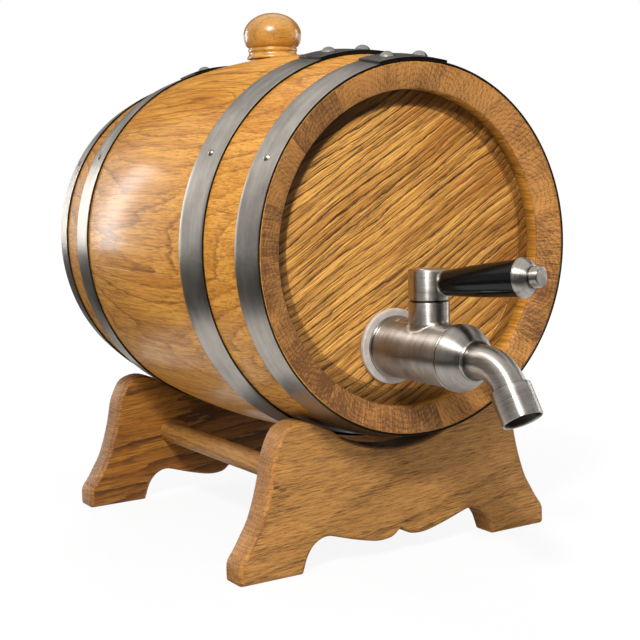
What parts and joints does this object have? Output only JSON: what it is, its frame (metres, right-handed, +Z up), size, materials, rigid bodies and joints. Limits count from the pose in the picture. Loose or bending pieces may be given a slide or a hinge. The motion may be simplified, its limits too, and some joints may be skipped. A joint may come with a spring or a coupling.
{
  "type": "cask drink dispenser",
  "caption": "Bulged oak cask lying on a shaped two-board stand, with steel hoops, a turned knob bung on top and a lever tap with a bent spout low on its front end.",
  "frame": {"origin": "middle of the object's extents in X and Y, on the surface that the stand's feet rest on", "axes": "+Z up, the tap end faces -Y, +X to the right of someone facing the tap, cask axis along Y"},
  "size_m": [0.2144, 0.3554, 0.2995],
  "materials": {
    "oak_board": "satin oil",
    "oak_stave": "satin varnish",
    "oak_head": "open grain, satin",
    "oak_bung": "satin varnish",
    "hoop_steel": "satin, lightly streaked",
    "tap_steel": "brushed",
    "clear_rubber": "milky, soft",
    "white_plastic": "matte",
    "black_grip": "gloss"
  },
  "bodies": {
    "stand": {"stand_board_front": "oak_board", "stand_board_rear": "oak_board", "stand_dowel_left": "oak_board", "stand_dowel_right": "oak_board"},
    "cask": {"stave_01": "oak_stave", "stave_02": "oak_stave", "stave_03": "oak_stave", "stave_04": "oak_stave", "stave_05": "oak_stave", "stave_06": "oak_stave", "stave_07": "oak_stave", "stave_08": "oak_stave", "stave_09": "oak_stave", "stave_10": "oak_stave", "stave_11": "oak_stave", "stave_12": "oak_stave", "stave_13": "oak_stave", "stave_14": "oak_stave", "stave_15": "oak_stave", "stave_16": "oak_stave", "head_front": "oak_head", "head_rear": "oak_head", "hoop_rim_front": "hoop_steel", "hoop_quarter_front": "hoop_steel", "hoop_quarter_rear": "hoop_steel", "hoop_rim_rear": "hoop_steel", "hoop_rivets": "hoop_steel", "hoop_nails": "hoop_steel", "tap_washer": "clear_rubber", "tap_body": "tap_steel", "tap_collar": "tap_steel", "tap_spout": "tap_steel", "outlet_sleeve": "tap_steel", "inner_washer": "clear_rubber", "lock_nut": "tap_steel", "valve_seat_rear": "white_plastic", "valve_seat_front": "white_plastic", "stem_seal": "white_plastic"},
    "lever": {"valve_ball": "tap_steel", "valve_stem": "tap_steel", "lever_hub": "tap_steel", "lever_rod": "tap_steel", "lever_grip": "black_grip", "lever_cap": "tap_steel"},
    "bung": {"bung": "oak_bung"}
  },
  "joints": [
    {"name": "cask_lift", "type": "slide", "parent": "stand", "child": "cask", "axis": [0, 0, 1], "range_m": [0, 0.12]},
    {"name": "bung_lift", "type": "slide", "parent": "cask", "child": "bung", "axis": [0, 0, 1], "range_m": [0, 0.05]},
    {"name": "lever_turn", "type": "hinge", "parent": "cask", "child": "lever", "pos_m": [-0.012, -0.09916, 0.15], "axis": [0, 0, 1], "range_deg": [0, 90]}
  ]
}
